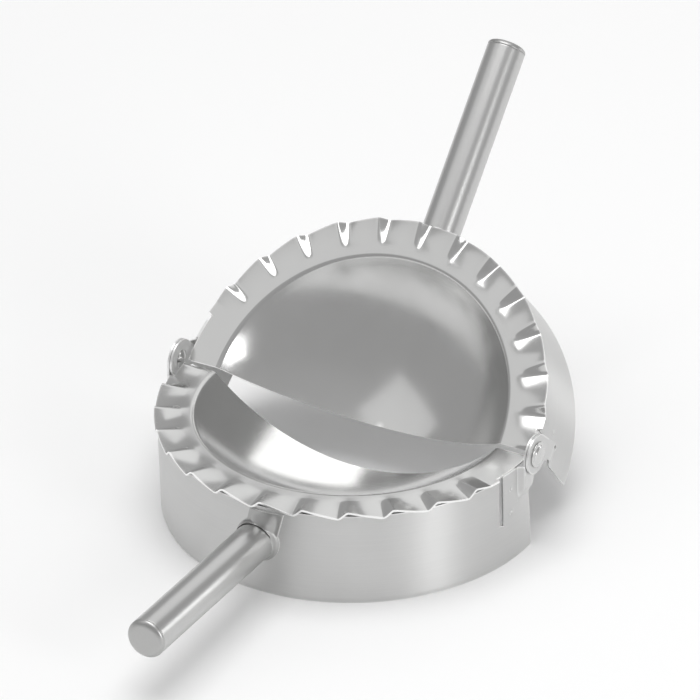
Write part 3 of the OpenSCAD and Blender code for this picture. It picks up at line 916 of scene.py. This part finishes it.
def neck_parts(group, skirt):
    """The neck: how far it stands out from the skirt, round the handle's axis.

    The grid runs round the axis and outwards to an outline that is the collar's circle
    joined to the leaning strip of the rib and its lips. The height is the smooth largest
    of the weld lip, the rib's arc and the collar's wall. The rib sinks back under the
    rim. Over the tube the wall is a rounded socket with a narrow groove along the tube,
    and below it the wall flares out to the lip.
    """
    r, axis_z, top_z, collar, reach = sizes(group, "radius height neck_top collar collar_reach")
    rib, proud, shift, lip, sheet = sizes(group, "rib rib_proud rib_shift lip lip_sheet")
    rise, lean, skirt_r = top_z - axis_z, group.lean, mm(skirt, "radius")
    half = math.sqrt(rib ** 2 - (rib - proud + sheet) ** 2) + lip
    corners = [math.atan2((side * half + shift + rise * math.sin(lean)) / math.cos(lean), rise)
               for side in (-1.0, 1.0)]
    turn = np.unique(np.concatenate([
        np.radians(np.arange(0.0, 360.01, 1.25)), np.mod(corners, 2 * math.pi)]))
    compass, off = wrapped(turn), wrapped(turn - lean)
    strip = (half + shift * np.sign(np.sin(off))) / np.maximum(np.abs(np.sin(off)), TINY)
    strip = np.where(np.cos(off) > 0.0, strip, 0.0)
    roof = np.where(np.cos(turn) > 0.0, rise / np.maximum(np.cos(turn), TINY), np.inf)
    slim = smooth((SLIM_FROM - compass) / SLIM_FADE) * smooth((compass - SLIM_TO) / SLIM_FADE)
    foot = r + collar - mm(group, "collar_slim") * slim
    edge = np.maximum(foot, np.minimum(strip, roof))
    *near, start = NECK_STEPS
    near = np.broadcast_to(near, (len(turn), len(near)))
    far = start + np.outer(edge - r - start, np.linspace(0.0, 1.0, 26))
    gap = np.concatenate([near, far], axis=1)
    rho = r + gap
    x = rho * np.sin(turn)[:, None]
    z = axis_z + rho * np.cos(turn)[:, None]
    across = rho * np.sin(off)[:, None] - shift
    up = rho * np.cos(off)[:, None]
    left = np.clip((edge[:, None] - rho) / LIP_ROUND, 0.0, 1.0)
    lips = sheet - LIP_ROUND * (1.0 - left) ** 2
    sunk = smooth((z - top_z + RIB_SINK) / RIB_SINK) * (proud - mm(group, "rib_end")) / proud
    arch = np.sqrt(np.maximum(rib ** 2 - across ** 2, 0.0)) - rib + proud
    arch = np.where(up > 0.0, arch * (1.0 - sunk), 0.0)
    level = [reach, reach - 0.15, reach - 0.6, reach - 1.3, sheet + 0.4, sheet + 0.1, 0.0]
    socket = np.interp(gap, [*SOCKET_STEPS, collar], level)
    flare = np.interp(gap, [*FLARE_STEPS, collar], level)
    over = smooth((OVER_HALF - np.abs(compass - OVER_MIDDLE)) / OVER_FADE)[:, None]
    wall = flare + (socket - flare) * over
    height = np.minimum(larger(larger(lips, arch), wall), max(reach, proud))
    groove = np.interp(gap, GROOVE_STEPS, GROOVE_SHARES)
    height = height * (1.0 - (1.0 - groove) * over)
    outer, inner = (np.stack([x, -np.sqrt((skirt_r + out) ** 2 - x ** 2), z], axis=2)
                    for out in (height, NECK_GAP))
    return [slab(outer, inner, ring=True)]


class PRESS_OT_necks(bpy.types.Operator):
    """Builds both pressed necks between the handles and the skirts."""

    bl_idname = "press.necks"
    bl_label = "Handle necks"

    def execute(self, context):
        scene = context.scene
        finish = steel("neck", scene.press_finish, grain=(90.0,) * 3,
                       line_depth=0.00001, smudge=0.03, streaks=0.05, spread=0.8)
        for half in HALVES:
            make_piece(f"{half}_handle_neck", neck_parts(scene.press_handle, scene.press_skirt),
                       half, finish, f"{half}_neck", crease=60.0)
        return {"FINISHED"}


def rivet_parts(group, side):
    """A rivet: both heads and the shank as one profile turned about the hinge axis.

    The outer head is a low dome with a shallow ring pressed in near its edge, whose depth
    is a bell curve of the distance from the axis.
    """
    inner, outer, shank = sizes(group, "inner_face outer_face shank")
    head, rise, peen, peen_rise = sizes(group, "head head_rise peen peen_rise")
    small_r, spread = dome(peen, peen_rise)
    low = arc((inner - peen_rise + small_r, 0.0), small_r, 180.0, 180.0 - spread, 12)
    rim = rise / 3
    big_r, spread = dome(head, rise - rim)
    top = arc((outer + rise - big_r, 0.0), big_r, spread, 0.0, 40)
    side_wall = [(outer, head - RIVET_EDGE), (outer + RIVET_EDGE, head),
                 (outer + rim - RIVET_CORNER, head)]
    from_ring = (top[:, 1] / head - RIVET_RING) / RIVET_RING_WIDTH
    top[:, 0] -= mm(group, "hollow") * bell(from_ring)
    profile = np.concatenate([
        low, [(inner, shank), (outer, shank)], side_wall, top[1:]])
    points, faces, cut = lathe(profile, RIVET_SIDES)
    return [(points * (side, 1.0, 1.0) + (0.0, 0.0, HINGE_Z), faces, cut)]


class PRESS_OT_rivets(bpy.types.Operator):
    """Builds the two hinge rivets."""

    bl_idname = "press.rivets"
    bl_label = "Rivets"

    def execute(self, context):
        scene = context.scene
        finish = steel("rivet", scene.press_finish, grain=(200.0,) * 3,
                       line_depth=0.00002, smudge=0.05, streaks=0.04)
        for name, side in (("right", 1.0), ("left", -1.0)):
            make_piece(f"{name}_hinge_rivet", rivet_parts(scene.press_rivet, side), "front",
                       finish, f"{name}_rivet", crease=50.0)
        return {"FINISHED"}


def area_light(name, place, wide, tall, power):
    """A soft rectangular light that faces the press, all in metres and watts."""
    data = bpy.data.lights.new(name, "AREA")
    data.shape = "RECTANGLE"
    data.size, data.size_y, data.energy = wide, tall, power
    lamp = put(name, data)
    lamp.location = place
    towards = Vector(LAMP_AIM) - Vector(place)
    lamp.rotation_euler = towards.to_track_quat("-Z", "Y").to_euler()
    lamp.visible_camera = False


def room_light(low, high):
    """Soft light from all round, a little brighter overhead than towards the horizon."""
    world = bpy.data.worlds.new("studio")
    world.use_nodes = True
    tree = world.node_tree
    way = node(tree, "ShaderNodeTexCoord").outputs["Generated"]
    height = node(tree, "ShaderNodeSeparateXYZ", Vector=way).outputs["Z"]
    climb = node(tree, "ShaderNodeMapRange", interpolation_type="SMOOTHSTEP", Value=height, **{
        "From Min": SKY_LOW, "From Max": SKY_HIGH, "To Min": low, "To Max": high})
    feed(tree.nodes["Background"], Color=(1.0, 1.0, 1.0, 1.0), Strength=climb.outputs["Result"])
    bpy.context.scene.world = world


def pale_floor(tint):
    """A wide flat matt floor."""
    mesh = bpy.data.meshes.new("floor")
    corners = [(FLOOR_REACH * x, FLOOR_REACH * y, 0.0)
               for x, y in ((-1, -1), (1, -1), (1, 1), (-1, 1))]
    mesh.from_pydata(corners, [], [(0, 1, 2, 3)])
    finish = bpy.data.materials.new("floor")
    finish.use_nodes = True
    feed(finish.node_tree.nodes["Principled BSDF"], Roughness=FLOOR_ROUGH,
         **{"Base Color": (*tint, 1.0)})
    mesh.materials.append(finish)
    put("floor", mesh)


def photo_camera(group):
    """The camera at the photograph's angle, aimed by its distance and sideways places."""
    a, e = group.azimuth, group.elevation
    back = Vector((math.sin(a) * math.cos(e), -math.cos(a) * math.cos(e), math.sin(e)))
    level = Vector((math.cos(a), math.sin(a), 0.0))
    plumb = back.cross(level)
    right = level * math.cos(group.roll) + plumb * math.sin(group.roll)
    up = back.cross(right)
    data = bpy.data.cameras.new("camera")
    data.lens = group.lens
    data.clip_start, data.clip_end = 0.05, 50.0
    camera = put("camera", data)
    camera.location = (back * group.distance + right * group.aim_right + up * group.aim_up
                       + Vector((0.0, HINGE_Y * MM, 0.0)))
    camera.rotation_euler = Matrix((right, up, back)).transposed().to_euler()
    bpy.context.scene.camera = camera


class PRESS_OT_stage(bpy.types.Operator):
    """Sets up the floor, the soft studio light and the camera."""

    bl_idname = "press.stage"
    bl_label = "Stage"

    def execute(self, context):
        group = context.scene.press_stage
        pale_floor(group.floor_colour)
        room_light(group.room_low, group.room_high)
        for lamp in LAMPS:
            area_light(*lamp)
        photo_camera(group)
        context.scene.view_settings.view_transform = "Standard"
        return {"FINISHED"}


GROUPS = {
    "press_dish": PRESS_PG_dish,
    "press_skirt": PRESS_PG_skirt,
    "press_handle": PRESS_PG_handle,
    "press_rivet": PRESS_PG_rivet,
    "press_finish": PRESS_PG_finish,
    "press_stage": PRESS_PG_stage,
}
OPERATORS = (PRESS_OT_dishes, PRESS_OT_skirts, PRESS_OT_handles, PRESS_OT_necks,
             PRESS_OT_rivets, PRESS_OT_stage)


class PRESS_PT_panel(bpy.types.Panel):
    """Lists the press's pieces and its stage in the 3D view's sidebar."""

    bl_label = "Crimping press"
    bl_idname = "PRESS_PT_panel"
    bl_space_type = "VIEW_3D"
    bl_region_type = "UI"
    bl_category = "Press"

    def draw(self, context):
        for operator in OPERATORS:
            self.layout.operator(operator.bl_idname)
        for name, kind in GROUPS.items():
            box = self.layout.box()
            box.label(text=kind.__doc__)
            for field in kind.__annotations__:
                box.prop(getattr(context.scene, name), field)


def register():
    for kind in (*GROUPS.values(), *OPERATORS, PRESS_PT_panel):
        bpy.utils.register_class(kind)
    for name, kind in GROUPS.items():
        setattr(bpy.types.Scene, name, bpy.props.PointerProperty(type=kind))


def unregister():
    for name in GROUPS:
        delattr(bpy.types.Scene, name)
    for kind in (PRESS_PT_panel, *reversed(OPERATORS), *GROUPS.values()):
        bpy.utils.unregister_class(kind)


def main():
    register()
    for operator in OPERATORS:
        group, name = operator.bl_idname.split(".")
        getattr(getattr(bpy.ops, group), name)()


if __name__ == "__main__":
    main()
